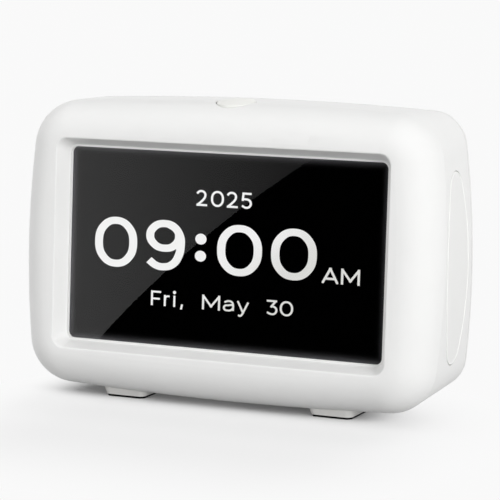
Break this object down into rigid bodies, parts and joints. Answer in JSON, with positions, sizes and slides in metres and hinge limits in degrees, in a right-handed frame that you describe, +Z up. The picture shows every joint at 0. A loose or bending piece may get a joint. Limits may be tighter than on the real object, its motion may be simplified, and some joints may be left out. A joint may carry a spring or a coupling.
{
  "type": "day clock",
  "caption": "Free-standing digital day clock with a wide screen in a deep frame, a pillow-shaped white case, a round button on top, side trim panels and two feet.",
  "frame": {"origin": "centre of the base of the bounding box, on the table", "axes": "+X to the viewer's right along the width, +Y to the rear, +Z up"},
  "size_m": [0.2054, 0.067, 0.1388],
  "materials": {
    "case": "smooth glossy white",
    "back_case": "smooth satin white",
    "lens": "polished clear",
    "foam": "black foam tape",
    "screen": "black display cell",
    "diffuser": "milky",
    "sheet_steel": "rolled sheet",
    "screw_steel": "zinc plated",
    "button": "smooth glossy white",
    "rear_button": "satin white",
    "switch_black": "moulded",
    "plunger": "moulded",
    "board": "green solder mask",
    "chip": "moulded packages",
    "holder": "moulded black",
    "cell_steel": "turned lines",
    "socket_steel": "folded sheet",
    "ribbon": "amber film",
    "cone_paper": "pressed paper",
    "magnet": "black oxide",
    "trim": "smooth glossy white",
    "foot": "satin white",
    "pad_rubber": "matt black"
  },
  "bodies": {
    "clock": {"back_cover": "back_case", "board_chips": "chip", "board_screws": "screw_steel", "bracket_screws": "screw_steel", "case_screws": "screw_steel", "coin_cell": "cell_steel", "coin_cell_holder": "holder", "control_switches": "switch_black", "display_lens": "lens", "foot_left": "foot", "foot_pad_left": "pad_rubber", "foot_pad_right": "pad_rubber", "foot_right": "foot", "front_housing": "case", "lcd_bracket": "sheet_steel", "lcd_panel": "screen", "lcd_ribbon": "ribbon", "lcd_tray": "sheet_steel", "lens_gasket": "foam", "light_guide": "diffuser", "main_board": "board", "ribbon_connector": "holder", "side_panel_left": "trim", "side_panel_right": "trim", "snooze_board": "board", "snooze_screws": "screw_steel", "snooze_switch": "switch_black", "speaker_cone": "cone_paper", "speaker_frame": "sheet_steel", "speaker_gasket": "foam", "speaker_magnet": "magnet", "speaker_screws": "screw_steel", "usb_socket": "socket_steel"},
    "snooze": {"snooze_button": "button", "snooze_plunger": "plunger"},
    "set_button": {"button_set": "rear_button", "plunger_set": "plunger"},
    "up_button": {"button_up": "rear_button", "plunger_up": "plunger"},
    "down_button": {"button_down": "rear_button", "plunger_down": "plunger"},
    "back_button": {"button_back": "rear_button", "plunger_back": "plunger"}
  },
  "joints": [
    {"name": "snooze_press", "type": "slide", "parent": "clock", "child": "snooze", "axis": [0, 0, -1], "range_m": [0, 0.001], "stiffness_N_per_m": 1200, "springref_m": -0.0004},
    {"name": "set_press", "type": "slide", "parent": "clock", "child": "set_button", "axis": [0, -0.9996, -0.027], "range_m": [0, 0.0006], "stiffness_N_per_m": 2500, "springref_m": -0.0002},
    {"name": "up_press", "type": "slide", "parent": "clock", "child": "up_button", "axis": [0, -0.9996, -0.027], "range_m": [0, 0.0006], "stiffness_N_per_m": 2500, "springref_m": -0.0002},
    {"name": "down_press", "type": "slide", "parent": "clock", "child": "down_button", "axis": [0, -0.9996, -0.027], "range_m": [0, 0.0006], "stiffness_N_per_m": 2500, "springref_m": -0.0002},
    {"name": "back_press", "type": "slide", "parent": "clock", "child": "back_button", "axis": [0, -0.9996, -0.027], "range_m": [0, 0.0006], "stiffness_N_per_m": 2500, "springref_m": -0.0002}
  ]
}
